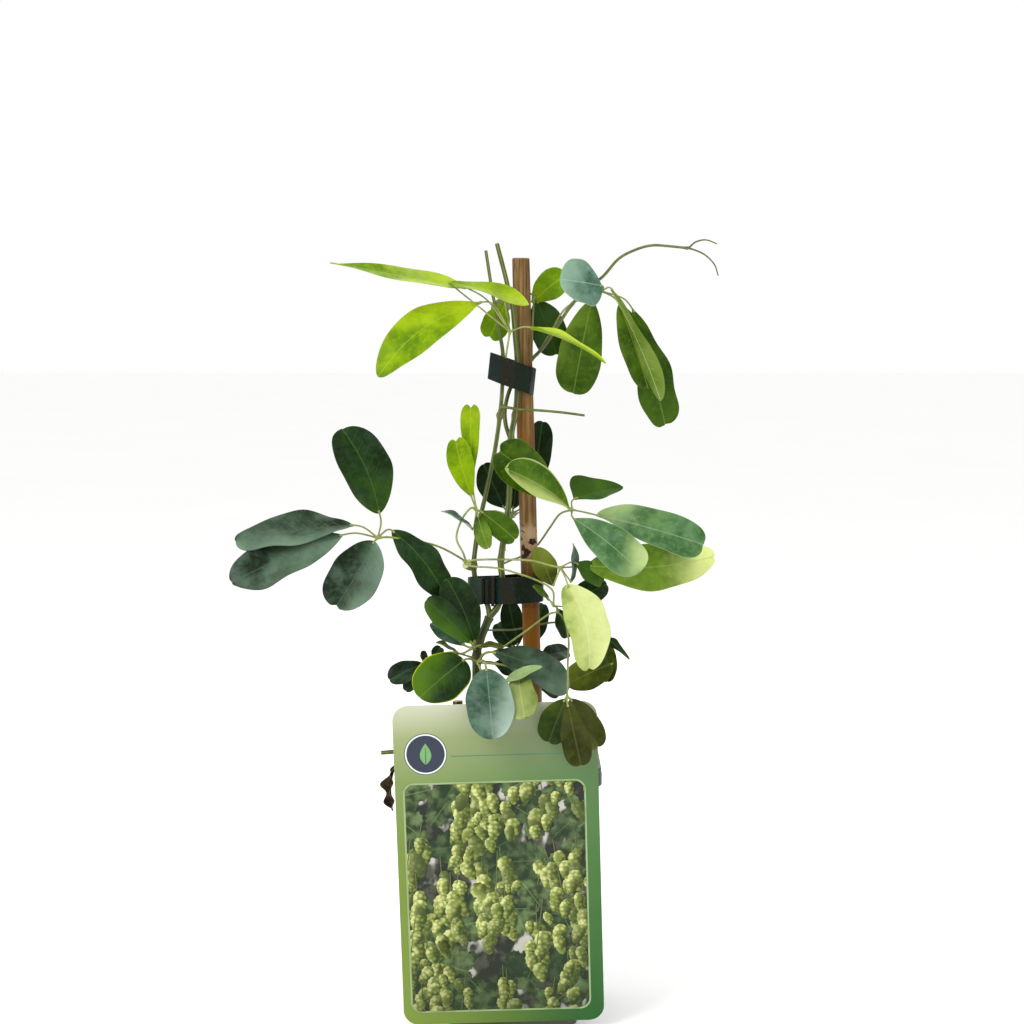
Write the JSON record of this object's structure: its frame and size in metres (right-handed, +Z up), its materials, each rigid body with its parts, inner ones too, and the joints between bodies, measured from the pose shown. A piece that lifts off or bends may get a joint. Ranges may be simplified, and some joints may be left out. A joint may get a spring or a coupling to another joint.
{
  "type": "potted climbing vine",
  "caption": "Young climbing vine with palmate oval leaflets, clipped to a bamboo cane in a square nursery pot, with a tall picture card on the pot's front.",
  "frame": {"origin": "centre of the pot's underside, on the surface it stands on", "axes": "+Z up along the plant; the picture card hangs on the -Y side; +X is to the right seen from the card's side"},
  "size_m": [0.2388, 0.1147, 0.3884],
  "materials": {
    "pot_plastic": "moulded polypropylene, matt black",
    "potting_soil": "moist peat and bark",
    "bamboo": "dried cane, satin",
    "clip_plastic": "dark green moulded plastic, satin",
    "card_print": "printed film, satin gloss",
    "hanger_plastic": "white film strip",
    "stem": "green bark, satin",
    "old_wood": "dry grey-brown bark",
    "dead_leaf": "dry brown leaf",
    "young_leaf": "soft fresh leaf, satin",
    "mature_leaf": "leathery leaf with a waxy sheen"
  },
  "bodies": {
    "root": {"nursery_pot": "pot_plastic", "soil": "potting_soil", "cane": "bamboo", "clip_upper": "clip_plastic", "clip_lower": "clip_plastic", "picture_card": "card_print", "card_hanger": "hanger_plastic", "stem_base": "stem", "stem_left": "stem", "stem_right": "stem", "shoot_side": "stem", "shoot_tip_up": "stem", "shoot_tip_down": "stem", "twig_stub": "stem", "spur": "stem", "runner": "stem", "old_stub": "old_wood", "dry_leaf": "dead_leaf", "leaf_top_left": "young_leaf", "leaf_top_back": "young_leaf", "leaf_top_right": "mature_leaf", "leaf_left": "mature_leaf", "leaf_centre_left": "young_leaf", "leaf_centre_back": "mature_leaf", "leaf_right_upper": "mature_leaf", "leaf_right_middle": "young_leaf", "leaf_right_inner": "mature_leaf", "leaf_right_low": "mature_leaf", "leaf_front_right": "mature_leaf", "leaf_low_left": "mature_leaf", "leaf_low_front": "mature_leaf", "leaf_low_far_left": "mature_leaf", "leaf_low_back": "mature_leaf"}
  },
  "joints": []
}
